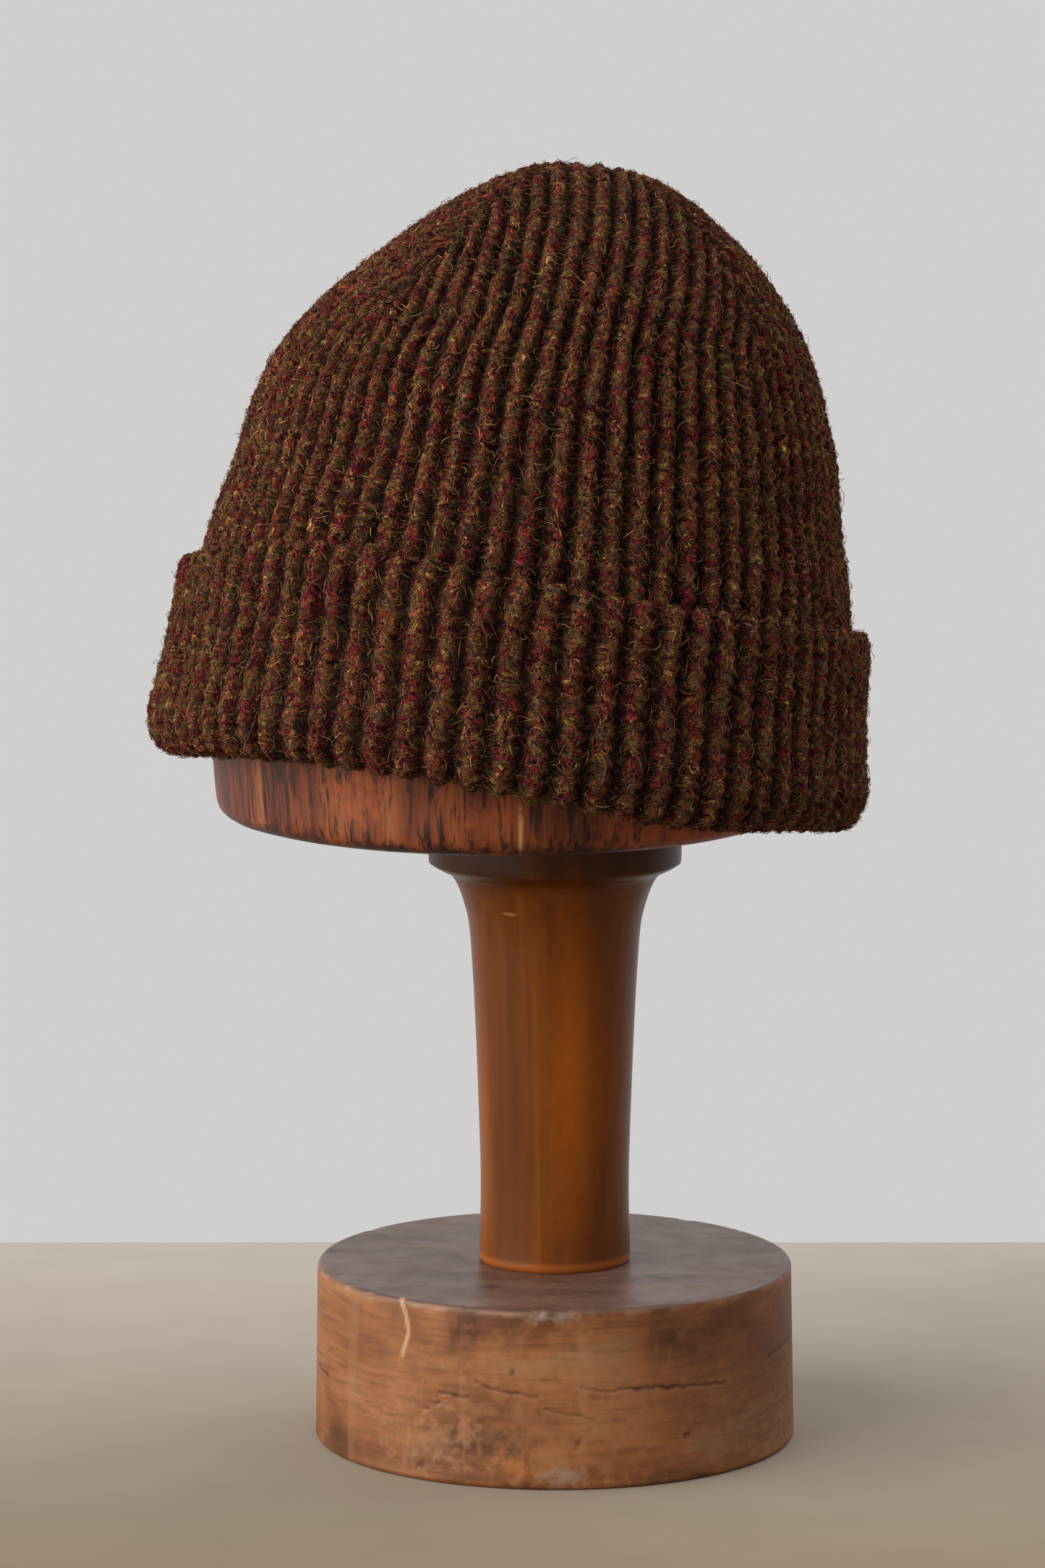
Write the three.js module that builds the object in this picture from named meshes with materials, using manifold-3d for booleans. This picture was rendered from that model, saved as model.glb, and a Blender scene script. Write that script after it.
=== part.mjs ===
// A knit hat with a turned-up cuff, sitting on the wooden hat stand that it is shown on.
// Millimetres, +Z up. The origin is the centre of the stand's foot, and -Y is the front.
import * as THREE from "three";
import { mergeVertices } from "three/addons/utils/BufferGeometryUtils.js";
import Module from "manifold-3d";

// Knit fabric.
const RIB_COUNT = 76; // ribs round the hat
const PANELS = 4; // the crown closes in four mitred panels
const RIB_DEPTH = 1.8; // from the top of a rib to the bottom of the groove beside it
const FABRIC = 5.6; // thickness of the knit at a rib
const CLOSING_PITCH = 6.5; // width of a rib where the crown closes
const PANEL_TURN = THREE.MathUtils.degToRad(4); // the front panel faces a little to the right

// The hat on the block: the centre of its lower edge, and how it leans.
const HAT_CENTRE = new THREE.Vector3(-15, 0, 189);
const LEAN_BACK = THREE.MathUtils.degToRad(6.8);
const LEAN_RIGHT = THREE.MathUtils.degToRad(6.6);
const DEPTH_RATIO = 1.14; // front-to-back size over side-to-side size, of hat and block
const TOP_SHIFT = 5.5; // the closed top slumps sideways by this much
const SHIFT_FROM = 112; // height where that slump begins
const SHIFT_TO = 162; // height where it is complete

// The cuff is turned up further at the front left, and its fold dips at the front right.
const EDGE_LIFT = 7;
const FOLD_LIFT = 3;
const LIFT_AT = THREE.MathUtils.degToRad(-30);
const LIFT_SPREAD = THREE.MathUtils.degToRad(32);
const FOLD_DIP = 3;
const DIP_AT = THREE.MathUtils.degToRad(30);
const DIP_SPREAD = THREE.MathUtils.degToRad(24);
const CUFF_HEIGHT = 57.4;
const CALM_HEIGHT = 100; // the lift has faded out at this height on the crown

// Wooden stand.
const BASE_HEIGHT = 51.5;
const BASE_FOOT_RADIUS = 70;
const BASE_TOP_RADIUS = 69;
const BASE_EDGE = 1.5;
const BLOCK_UNDERSIDE = 183.5;
const BLOCK_CENTRE_X = -14;
const SEAT_GAP = 0.4; // the free space between pieces that lie on each other

// Facets.
const HALF_PANEL = RIB_COUNT / PANELS / 2; // ribs from the middle of a panel to its edge
const PLAIN_COLUMNS = RIB_COUNT / 2; // columns of a surface without ribs
const INNER_ROWS = 12;
const STRAIGHT_ROWS = 7; // rows of ribs below the closing crown
const BASE_SEGMENTS = 56;
const STEM_SEGMENTS = 36;
const BLOCK_SEGMENTS = 44;

// Outside of the crown over its ribs, from the lower edge inside the cuff to the top.
const CROWN_SECTIONS = [
  { height: 5.9, halfWidth: 91.6 },
  { height: 24, halfWidth: 93.2 },
  { height: 44, halfWidth: 94.3 },
  { height: 58, halfWidth: 94.1 },
  { height: 70, halfWidth: 92.2 },
  { height: 86, halfWidth: 88.2 },
  { height: 104, halfWidth: 84.9 },
  { height: 120, halfWidth: 79.3 },
  { height: 135, halfWidth: 71 },
  { height: 150, halfWidth: 58.8 },
  { height: 163, halfWidth: 45.4 },
  { height: 174, halfWidth: 30.4 },
  { height: 180.6, halfWidth: 16.4 },
  { height: 182.8, halfWidth: 0 },
];
const VISIBLE_FROM = 50; // ribs show on the crown above this height

// Cross-section of the turned-up cuff: up the outside, over the edge, down the inside,
// along the floor of the pocket and round the bottom fold.
const CUFF_SECTION = [
  { halfWidth: 104.5, height: 10, ribbed: true },
  { halfWidth: 103.3, height: 20, ribbed: true },
  { halfWidth: 101.4, height: 36, ribbed: true },
  { halfWidth: 100.6, height: 51, ribbed: true },
  { halfWidth: 99.7, height: 55.6, ribbed: true },
  { halfWidth: 97.6, height: CUFF_HEIGHT, ribbed: false },
  { halfWidth: 95.4, height: 56, ribbed: false },
  { halfWidth: 95.4, height: 46, ribbed: false },
  { halfWidth: 96.4, height: 28, ribbed: false },
  { halfWidth: 98.9, height: 12, ribbed: false },
  { halfWidth: 96.6, height: 6.4, ribbed: false },
  { halfWidth: 91.6, height: 5.6, ribbed: false },
  { halfWidth: 87, height: 5.6, ribbed: false },
  { halfWidth: 87, height: 2.6, ribbed: false },
  { halfWidth: 89.5, height: 0.5, ribbed: true },
  { halfWidth: 96, height: 0, ribbed: true },
  { halfWidth: 101.4, height: 2.2, ribbed: true },
];

// Hat block below the knit: a flat underside, a rounded lower edge and walls that widen upwards
// until the hat's inside takes over.
const BLOCK_SECTIONS = [
  { z: BLOCK_UNDERSIDE, halfWidth: 78.6 },
  { z: BLOCK_UNDERSIDE + 1.3, halfWidth: 82 },
  { z: BLOCK_UNDERSIDE + 4.5, halfWidth: 83.8 },
  { z: 199, halfWidth: 84.8 },
  { z: 212, halfWidth: 86.4 },
  { z: 224, halfWidth: 98 },
  { z: 390, halfWidth: 125 },
];

// Turned stem, from its foot on the base to the flange under the block.
const STEM_SECTIONS = [
  { z: BASE_HEIGHT, radius: 21.4 },
  { z: BASE_HEIGHT + 1.4, radius: 22.1 },
  { z: BASE_HEIGHT + 6, radius: 21.9 },
  { z: 76, radius: 21.6 },
  { z: 98, radius: 22.2 },
  { z: 124, radius: 23.2 },
  { z: 142, radius: 24.2 },
  { z: 151, radius: 25 },
  { z: 157, radius: 26.4 },
  { z: 162, radius: 28.2 },
  { z: 165.4, radius: 30.4 },
  { z: 167.2, radius: 33.8 },
  { z: 168.6, radius: 36 },
  { z: 170.4, radius: 36.6 },
  { z: BLOCK_UNDERSIDE, radius: 36.6 },
];

const MATERIALS = {
  knit: new THREE.MeshStandardMaterial({ color: 0x4a3024, roughness: 0.95, metalness: 0 }),
  block: new THREE.MeshStandardMaterial({ color: 0x5a3524, roughness: 0.6, metalness: 0 }),
  stem: new THREE.MeshStandardMaterial({ color: 0x8a4a1c, roughness: 0.4, metalness: 0 }),
  base: new THREE.MeshStandardMaterial({ color: 0x6b4a36, roughness: 0.65, metalness: 0 }),
};

// 1 at the centre angle, fading to 0 over about twice the spread.
function bump(arc, centre, spread) {
  const away = THREE.MathUtils.euclideanModulo(arc - centre + Math.PI, 2 * Math.PI) - Math.PI;
  return Math.exp(-((away / spread) ** 2));
}

// How far the knit is lifted here, against a cuff turned up evenly all round.
function lift(arc, height) {
  const edge = EDGE_LIFT * bump(arc, LIFT_AT, LIFT_SPREAD);
  const dip = FOLD_DIP * bump(arc, DIP_AT, DIP_SPREAD);
  const fold = FOLD_LIFT * bump(arc, LIFT_AT, LIFT_SPREAD) - dip;
  const upCuff = THREE.MathUtils.clamp(height / CUFF_HEIGHT, 0, 1);
  const calm = 1 - THREE.MathUtils.smoothstep(height, CUFF_HEIGHT, CALM_HEIGHT);
  return THREE.MathUtils.lerp(fold, edge, upCuff) * calm;
}

// A place on the oval. turn is the fraction of the way round, measured along the knit.
function onOval(turn, halfWidth, height, shift = 0) {
  const flat = DEPTH_RATIO ** 2;
  const evenness = (flat - 1) / (flat + 1) / 4;
  const arc = turn * 2 * Math.PI + PANEL_TURN;
  const angle = arc + evenness * Math.sin(2 * arc);
  const x = shift + halfWidth * Math.sin(angle);
  const y = -halfWidth * DEPTH_RATIO * Math.cos(angle);
  return new THREE.Vector3(x, y, height + lift(arc, height));
}

function slump(height) {
  return TOP_SHIFT * THREE.MathUtils.smoothstep(height, SHIFT_FROM, SHIFT_TO);
}

// Length round the oval, by Ramanujan's formula.
function ovalLength(halfWidth) {
  const halfDepth = halfWidth * DEPTH_RATIO;
  const h = ((halfDepth - halfWidth) / (halfDepth + halfWidth)) ** 2;
  return Math.PI * (halfDepth + halfWidth) * (1 + (3 * h) / (10 + Math.sqrt(4 - 3 * h)));
}

// A ring with no ribs. Its keys count ribs round the hat, so that rings can be matched.
function plainRing({ halfWidth, height }) {
  const ring = [];
  for (let i = 0; i < PLAIN_COLUMNS; i += 1) {
    const key = (i * RIB_COUNT) / PLAIN_COLUMNS - HALF_PANEL;
    const point = onOval(key / RIB_COUNT, halfWidth, height, slump(height));
    ring.push({ key, point });
  }
  return ring;
}

// A ring of ribs and grooves. normal points out of the knit, in width and height.
// half is the number of ribs on each side of the middle of a panel.
function ribbedRing({ halfWidth, height }, normal, half) {
  const perPanel = RIB_COUNT / PANELS;
  const ring = [];
  for (let panel = 0; panel < PANELS; panel += 1) {
    for (let step = 0; step < 4 * half; step += 1) {
      const rib = step / 2 - half;
      const depth = Number.isInteger(rib) ? 0 : RIB_DEPTH;
      const width = halfWidth - depth * normal.x;
      const level = height - depth * normal.y;
      const turn = (panel + rib / (2 * half)) / PANELS;
      const point = onOval(turn, width, level, slump(height));
      ring.push({ key: panel * perPanel + rib, point });
    }
  }
  return ring;
}

// The key of the point that follows point i of a ring, or Infinity at the end of its round.
function keyAfter(ring, i) {
  if (ring.length === 1 || i >= ring.length) return Infinity;
  const next = i + 1;
  return next === ring.length ? ring[0].key + RIB_COUNT : ring[next].key;
}

// Triangles between two rings, each taken in the order of its keys.
function bridge(lower, upper, triangles) {
  const pointOf = (ring, i) => ring[i % ring.length].point;
  let i = 0;
  let j = 0;
  while (Math.min(keyAfter(lower, i), keyAfter(upper, j)) < Infinity) {
    if (keyAfter(lower, i) <= keyAfter(upper, j)) {
      triangles.push(pointOf(lower, i), pointOf(lower, i + 1), pointOf(upper, j));
      i += 1;
    } else {
      triangles.push(pointOf(lower, i), pointOf(upper, j + 1), pointOf(upper, j));
      j += 1;
    }
  }
}

// One closed geometry through a list of rings. A closed section joins its last ring to its first.
function loft(rings, closed) {
  const triangles = [];
  for (let i = 1; i < rings.length; i += 1) bridge(rings[i - 1], rings[i], triangles);
  if (closed) bridge(rings[rings.length - 1], rings[0], triangles);
  const geometry = new THREE.BufferGeometry().setFromPoints(triangles);
  return mergeVertices(geometry, 1e-4);
}

// The crown's outline as a smooth curve of half width and height.
const crownCurve = new THREE.SplineCurve(
  CROWN_SECTIONS.map(({ halfWidth, height }) => new THREE.Vector2(halfWidth, height)),
);

function crownAt(t) {
  const point = crownCurve.getPoint(t);
  const tangent = crownCurve.getTangent(t);
  const normal = new THREE.Vector2(tangent.y, -tangent.x);
  return { halfWidth: point.x, height: point.y, normal };
}

// Where the outline first meets a condition that holds from there to the top.
function crownParameter(isAbove) {
  let low = 0;
  let high = 1;
  for (let i = 0; i < 40; i += 1) {
    const middle = (low + high) / 2;
    if (isAbove(crownCurve.getPoint(middle))) high = middle;
    else low = middle;
  }
  return high;
}

// The inside of the knit, pulled in from the outline by the given distance.
function crownInside(t, distance) {
  const { halfWidth, height, normal } = crownAt(t);
  return {
    halfWidth: Math.max(halfWidth - distance * normal.x, 0),
    height: height - distance * normal.y,
  };
}

function apex(height) {
  return [{ key: 0, point: new THREE.Vector3(slump(height), 0, height) }];
}

// Rings of the surface inside the knit, from near the top down to the lower edge.
function insideRings(distance) {
  const top = crownInside(1, distance);
  const rings = [apex(top.height)];
  for (let i = 1; i <= INNER_ROWS; i += 1) {
    rings.push(plainRing(crownInside(1 - i / INNER_ROWS, distance)));
  }
  return rings;
}

function makeCrown() {
  const rings = insideRings(FABRIC);
  const lowerSections = CROWN_SECTIONS.filter(({ height }) => height < VISIBLE_FROM);
  for (const section of lowerSections) rings.push(plainRing(section));

  const start = crownParameter((p) => p.y > VISIBLE_FROM);
  const closing = crownParameter((p) => ovalLength(p.x) < RIB_COUNT * CLOSING_PITCH);
  for (let i = 0; i < STRAIGHT_ROWS; i += 1) {
    const section = crownAt(THREE.MathUtils.lerp(start, closing, i / STRAIGHT_ROWS));
    rings.push(ribbedRing(section, section.normal, HALF_PANEL));
  }
  for (let half = HALF_PANEL; half > 0; half -= 1) {
    const length = half * 2 * PANELS * CLOSING_PITCH;
    const section = crownAt(crownParameter((p) => ovalLength(p.x) < length));
    rings.push(ribbedRing(section, section.normal, half));
  }
  rings.push(apex(CROWN_SECTIONS[CROWN_SECTIONS.length - 1].height - RIB_DEPTH / 2));
  return loft(rings, false);
}

function makeCuff() {
  const count = CUFF_SECTION.length;
  const rings = CUFF_SECTION.map((section, i) => {
    if (!section.ribbed) return plainRing(section);
    const before = CUFF_SECTION[(i + count - 1) % count];
    const after = CUFF_SECTION[(i + 1) % count];
    const rise = after.height - before.height;
    const spread = after.halfWidth - before.halfWidth;
    const normal = new THREE.Vector2(rise, -spread).normalize();
    return ribbedRing(section, normal, HALF_PANEL);
  });
  return loft(rings, true);
}

// The block is an oval post trimmed to the space inside the knit.
function makeBlock(wasm, hat) {
  const space = loft([...insideRings(FABRIC + SEAT_GAP), ...skirtRings()].reverse(), false);
  space.applyMatrix4(hat.matrixWorld);
  return fromSolid(toSolid(wasm, makePost()).intersect(toSolid(wasm, space)));
}

// Below the knit's lower edge the space opens out, so that only the post shapes the block there.
function skirtRings() {
  return [
    plainRing({ halfWidth: 85.9, height: 5.4 }),
    plainRing({ halfWidth: 85.9, height: 0 }),
    plainRing({ halfWidth: 96, height: -2 }),
    plainRing({ halfWidth: 96, height: -60 }),
    [{ key: 0, point: new THREE.Vector3(0, 0, -60) }],
  ];
}

function makePost() {
  const rings = BLOCK_SECTIONS.map(({ z, halfWidth }) => {
    const ring = [];
    for (let i = 0; i < BLOCK_SEGMENTS; i += 1) {
      const angle = (i / BLOCK_SEGMENTS) * 2 * Math.PI;
      const x = BLOCK_CENTRE_X + halfWidth * Math.sin(angle);
      const y = -halfWidth * DEPTH_RATIO * Math.cos(angle);
      ring.push({ key: (i * RIB_COUNT) / BLOCK_SEGMENTS, point: new THREE.Vector3(x, y, z) });
    }
    return ring;
  });
  const first = BLOCK_SECTIONS[0].z;
  const last = BLOCK_SECTIONS[BLOCK_SECTIONS.length - 1].z;
  const underside = [{ key: 0, point: new THREE.Vector3(BLOCK_CENTRE_X, 0, first) }];
  const top = [{ key: 0, point: new THREE.Vector3(BLOCK_CENTRE_X, 0, last) }];
  return loft([underside, ...rings, top], false);
}

function toSolid(wasm, geometry) {
  const mesh = new wasm.Mesh({
    numProp: 3,
    vertProperties: new Float32Array(geometry.getAttribute("position").array),
    triVerts: new Uint32Array(geometry.getIndex().array),
  });
  return new wasm.Manifold(mesh);
}

function fromSolid(solid) {
  const mesh = solid.getMesh();
  const geometry = new THREE.BufferGeometry();
  geometry.setAttribute("position", new THREE.BufferAttribute(mesh.vertProperties, 3));
  geometry.setIndex(new THREE.BufferAttribute(mesh.triVerts, 1));
  return geometry;
}

// A turned piece, from [radius, height] pairs that run from the lower end to the upper one.
function turned(pairs, segments) {
  const [lowest] = pairs;
  const highest = pairs[pairs.length - 1];
  const outline = [[0, lowest[1]], ...pairs, [0, highest[1]]];
  const points = outline.map(([radius, height]) => new THREE.Vector2(radius, height));
  const geometry = new THREE.LatheGeometry(points, segments);
  geometry.rotateX(Math.PI / 2);
  geometry.deleteAttribute("normal");
  geometry.deleteAttribute("uv");
  return mergeVertices(geometry, 1e-4);
}

function makeStem() {
  return turned(STEM_SECTIONS.map(({ z, radius }) => [radius, z]), STEM_SEGMENTS);
}

function makeBase() {
  const pairs = [
    [BASE_FOOT_RADIUS - BASE_EDGE, 0],
    [BASE_FOOT_RADIUS, BASE_EDGE],
    [BASE_TOP_RADIUS, BASE_HEIGHT - BASE_EDGE],
    [BASE_TOP_RADIUS - BASE_EDGE * 0.4, BASE_HEIGHT - BASE_EDGE * 0.4],
    [BASE_TOP_RADIUS - BASE_EDGE, BASE_HEIGHT],
  ];
  return turned(pairs, BASE_SEGMENTS);
}

function piece(name, geometry, material) {
  geometry.computeVertexNormals();
  const mesh = new THREE.Mesh(geometry, material);
  mesh.name = name;
  return mesh;
}

const wasm = await Module();
wasm.setup();

const hat = new THREE.Group();
hat.position.copy(HAT_CENTRE);
hat.rotation.set(-LEAN_BACK, LEAN_RIGHT, 0);
hat.updateMatrixWorld(true);
hat.add(piece("hat_crown", makeCrown(), MATERIALS.knit));
hat.add(piece("hat_cuff", makeCuff(), MATERIALS.knit));

const stand = new THREE.Group();
stand.add(piece("stand_block", makeBlock(wasm, hat), MATERIALS.block));
stand.add(piece("stand_stem", makeStem(), MATERIALS.stem));
stand.add(piece("stand_base", makeBase(), MATERIALS.base));

const knitHatOnStand = new THREE.Group();
knitHatOnStand.add(hat, stand);

export default knitHatOnStand;
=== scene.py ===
"""Looks of a ribbed knit hat on its turned wooden stand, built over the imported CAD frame.

Tables and shape functions work in millimetres; meshes are made in metres. The hat's own frame has
its origin at the centre of its lower edge, and leans with the hat.
"""

import math

import bpy
import numpy as np
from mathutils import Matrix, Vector


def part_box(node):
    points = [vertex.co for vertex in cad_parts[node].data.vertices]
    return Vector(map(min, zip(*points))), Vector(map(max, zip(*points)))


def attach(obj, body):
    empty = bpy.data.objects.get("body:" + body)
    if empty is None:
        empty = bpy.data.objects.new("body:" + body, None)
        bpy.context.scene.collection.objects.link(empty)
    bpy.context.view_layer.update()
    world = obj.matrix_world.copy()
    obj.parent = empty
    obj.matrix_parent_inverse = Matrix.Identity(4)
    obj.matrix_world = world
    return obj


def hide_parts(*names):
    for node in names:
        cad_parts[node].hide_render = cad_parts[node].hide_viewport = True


MM = 0.001

# Knit fabric, as in the CAD solids.
RIB_COUNT = 76
PANELS = 4
HALF_PANEL = RIB_COUNT / PANELS / 2  # ribs from a panel's middle to its edge
PANEL_NAMES = ("front", "right", "back", "left")
FABRIC = 5.6
SEAT_GAP = 0.4  # between the knit and the block
BLOCK_GAP = FABRIC + SEAT_GAP
CLOSING_PITCH = 6.5  # width of a rib where the crown closes
PANEL_TURN = math.radians(4)

# The hat on the block.
HAT_CENTRE = (-15, 0, 189)
LEAN_BACK = math.radians(6.8)
LEAN_RIGHT = math.radians(6.6)
DEPTH_RATIO = 1.14
TOP_SHIFT = 5.5  # how far the closed top slumps to the side
SHIFT_FROM = 112
SHIFT_TO = 162
EDGE_LIFT = 7  # how far the cuff's top edge rises
FOLD_LIFT = 3
LIFT_AT = math.radians(-30)
LIFT_SPREAD = math.radians(32)
FOLD_DIP = 3
DIP_AT = math.radians(30)
DIP_SPREAD = math.radians(24)
CUFF_HEIGHT = 57.4
CALM_HEIGHT = 100  # no lift or dip above it

# Outside of the crown over its ribs: half width and height.
CROWN_SECTIONS = (
    (91.6, 5.9),
    (93.2, 24),
    (94.3, 44),
    (94.1, 58),
    (92.2, 70),
    (88.2, 86),
    (84.9, 104),
    (79.3, 120),
    (71, 135),
    (58.8, 150),
    (45.4, 163),
    (30.4, 174),
    (16.4, 180.6),
    (0, 182.8),
)
HIDDEN_BELOW = 47  # height up to which the cuff covers the crown

# Outside of the cuff, from its inner lower edge round the fold and up over the top edge.
CUFF_OUTSIDE = (
    (87, 5.6),
    (87, 2.6),
    (89.5, 0.5),
    (96, 0),
    (101.4, 2.2),
    (104.5, 10),
    (103.3, 20),
    (101.4, 36),
    (100.6, 51),
    (99.7, 55.6),
    (97.6, CUFF_HEIGHT),
    (95.4, 56),
)
# Inside of the pocket behind the cuff, from the top edge down.
CUFF_INSIDE = ((95.4, 46), (96.4, 28), (98.9, 12), (96.6, 6.4), (91.6, 5.6))

# Relief of the knit. Sideways moves are in half ribs, and noise is in layers of size and amount.
RIB_DEPTH = 2.4
RIB_SINK = 0.15  # how far its tops lie below those of the solid's ribs
HIDDEN_SINK = 0.6  # the same for where the cuff covers it, at the edges and at the apex
EDGE_SINK = 0.5
APEX_SINK = 1.2
MEAN_DEPTH = 1.05
DEPTH_CHANGE = ((12, 0.3),)
GROOVE_SHARPNESS = 1.6
SHADE_SHARPNESS = 0.9
MITRE_DEPTH = 0.8  # as a share of a rib's depth
STITCH = 3.9
STITCH_RELIEF = 0.42
STITCH_SLANT = 0.42
STITCH_SWING = 0.14
STITCH_DRIFT = ((11, 0.2),)
RIB_WAVES = ((4, 0.16), (1.7, 0.24))
LUMPS = ((2.6, 0.22), (1.2, 0.26))
RIB_SWAY = 0.16
SWAY_SIZE = 30

# Mesh of the knit.
ROW_STEP = 0.95
HIDDEN_ROW_STEP = 5
RIB_COLUMNS = 10  # in each rib
FLAT_COLUMNS = 20  # across a panel's inside
INSIDE_SHADE = 0.3  # how deep in a groove the insides count as
POCKET_SHADE = 0.6

# Fibres that stand out of the yarn. A few of them stray far.
PANEL_FIBRES = 5800
CUFF_FIBRES = 7900
PANEL_FIBRES_FROM = 56  # height on the crown
CUFF_FIBRES_FROM = 6  # distance along the cuff's outline
STRAY_SHARE = 0.008
STRAY_LENGTH = (7, 12)
STRAY_RISE = (0.8, 2)
FIBRE_LENGTH = (2.4, 6.5)
FIBRE_RISE = 0.18
FIBRE_CURL = 3.4
FIBRE_DEPTH = 1.7  # how deep in a groove it may lie
FIBRE_RADIUS = 0.09
FIBRE_POINTS = 4

# Wooden stand.
BLOCK_CENTRE_X = -14
BLOCK_COLUMNS = 300
BLOCK_DOME_FROM = 46  # height on the crown from which the block follows its inside
BLOCK_DOME_RINGS = 22
STEM_TOP_RADIUS = 36.6
STEM_COLUMNS = 128
BASE_FOOT_RADIUS = 70
BASE_TOP_RADIUS = 69
BASE_EDGE = 1.5
BASE_COLUMNS = 390
# Rows of the mesh up the foot's side, as first, end and step, closest where it is cracked.
BASE_ROWS = ((2, 18, 1.3), (18, 32, 0.5), (32, 49.8, 1.1))
BASE_UNDER_RINGS = (20, 45, 62)
BASE_TOP_RINGS = (66.6, 65, 62, *range(59, 18, -3), 10)

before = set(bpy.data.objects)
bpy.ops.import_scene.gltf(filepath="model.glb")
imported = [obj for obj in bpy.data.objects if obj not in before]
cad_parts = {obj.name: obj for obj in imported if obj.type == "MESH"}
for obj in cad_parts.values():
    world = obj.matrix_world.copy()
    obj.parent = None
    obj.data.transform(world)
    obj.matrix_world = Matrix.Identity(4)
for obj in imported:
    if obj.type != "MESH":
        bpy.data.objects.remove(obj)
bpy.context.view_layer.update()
BASE_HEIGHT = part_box("stand_base")[1][2] / MM
BLOCK_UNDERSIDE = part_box("stand_block")[0][2] / MM

# Half width and height up the block's wall, and radius and height up the stem.
BLOCK_WALL = (
    (78.6, BLOCK_UNDERSIDE),
    (82, BLOCK_UNDERSIDE + 1.3),
    (83.8, BLOCK_UNDERSIDE + 4.5),
    (84.8, BLOCK_UNDERSIDE + 15.5),
    (86.2, BLOCK_UNDERSIDE + 27),
)
STEM_PROFILE = (
    (21.4, BASE_HEIGHT),
    (22.1, 52.9),
    (21.9, 57.5),
    (21.6, 76),
    (22.2, 98),
    (23.2, 124),
    (24.2, 142),
    (25, 151),
    (26.4, 157),
    (28.2, 162),
    (30.4, 165.4),
    (33.8, 167.2),
    (36, 168.6),
    (STEM_TOP_RADIUS, 170.4),
    (STEM_TOP_RADIUS, BLOCK_UNDERSIDE),
)


# ---------- numbers and noise


def smoothstep(value, start, end):
    t = np.clip((value - start) / (end - start), 0, 1)
    return t * t * (3 - 2 * t)


def scatter(x, y, z, seed):
    """A number from 0 to 1 for each whole-numbered place."""
    mixed = x * 374761393 + y * 668265263 + z * 1440662683 + seed * 1274126177
    mixed = (mixed ^ (mixed >> 13)) * 1274126177
    return ((mixed ^ (mixed >> 16)) & 0xFFFF) / 65535


def noise(points, size, seed=0):
    """Smooth noise from -1 to 1 with features of about the given size."""
    scaled = np.asarray(points, float) / size
    cell = np.floor(scaled).astype(np.int64)
    f = scaled - cell
    f = f * f * (3 - 2 * f)
    total = np.zeros(len(scaled))
    for corner in range(8):
        step = np.array([corner & 1, corner >> 1 & 1, corner >> 2 & 1])
        weight = np.prod(np.where(step == 1, f, 1 - f), axis=1)
        x, y, z = (cell + step).T
        total += weight * scatter(x, y, z, seed)
    return total * 2 - 1


def catmull_rom(points, per_span):
    """A smooth line through the points."""
    points = np.asarray(points, float)
    ends = np.vstack([points[:1], points, points[-1:]])
    t = (np.arange(per_span) / per_span)[:, None]
    spans = []
    for a, b, c, d in zip(ends, ends[1:], ends[2:], ends[3:]):
        straight = 2 * b + (c - a) * t
        bent = (2 * a - 5 * b + 4 * c - d) * t**2 + (3 * b - 3 * c + d - a) * t**3
        spans.append((straight + bent) / 2)
    return np.vstack([*spans, points[-1:]])


class Outline:
    """A smooth outline of half width and height, addressed by the distance along it."""

    def __init__(self, sections):
        self.line = catmull_rom(sections, 40)
        steps = np.linalg.norm(np.diff(self.line, axis=0), axis=1)
        self.along = np.concatenate([[0], np.cumsum(steps)])
        self.length = self.along[-1]
        tangent = np.gradient(self.line, self.along, axis=0)
        tangent /= np.linalg.norm(tangent, axis=1)[:, None]
        self.normal = np.column_stack([tangent[:, 1], -tangent[:, 0]])

    def at(self, s):
        """Half width, height and the two parts of the outward normal."""
        columns = (*self.line.T, *self.normal.T)
        return [np.interp(s, self.along, column) for column in columns]

    def where_height(self, height):
        return float(np.interp(height, self.line[:, 1], self.along))


# ---------- the hat's shape


def bump(arc, centre, spread):
    """1 at a place round the oval, and less and less to both sides."""
    away = (arc - centre + math.pi) % (2 * math.pi) - math.pi
    return np.exp(-((away / spread) ** 2))


def lift(arc, height):
    """How far the knit is lifted here, against a cuff turned up evenly all round."""
    edge = EDGE_LIFT * bump(arc, LIFT_AT, LIFT_SPREAD)
    fold = FOLD_LIFT * bump(arc, LIFT_AT, LIFT_SPREAD)
    fold = fold - FOLD_DIP * bump(arc, DIP_AT, DIP_SPREAD)
    up_cuff = np.clip(height / CUFF_HEIGHT, 0, 1)
    calm = 1 - smoothstep(height, CUFF_HEIGHT, CALM_HEIGHT)
    return (fold + (edge - fold) * up_cuff) * calm


def slump(height):
    """How far the knit is shifted to the side."""
    return TOP_SHIFT * smoothstep(height, SHIFT_FROM, SHIFT_TO)


def on_oval(turn, half_width, height, shift):
    """Places on the hat's oval. turn is the fraction of the way round."""
    flat = DEPTH_RATIO**2
    evenness = (flat - 1) / (flat + 1) / 4
    arc = turn * 2 * math.pi + PANEL_TURN
    angle = arc + evenness * np.sin(2 * arc)
    x = shift + half_width * np.sin(angle)
    y = -half_width * DEPTH_RATIO * np.cos(angle)
    z = height + lift(arc, height)
    return np.column_stack([x, y, z])


def oval_length(half_width):
    """Distance round the hat's oval."""
    half_depth = half_width * DEPTH_RATIO
    total = half_depth + half_width
    h = ((half_depth - half_width) / np.maximum(total, 1e-9)) ** 2
    return math.pi * total * (1 + 3 * h / (10 + np.sqrt(4 - 3 * h)))


def rotate(first, second, angle):
    """Two coordinates, turned from the first towards the second."""
    cosine, sine = math.cos(angle), math.sin(angle)
    return first * cosine - second * sine, first * sine + second * cosine


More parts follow.
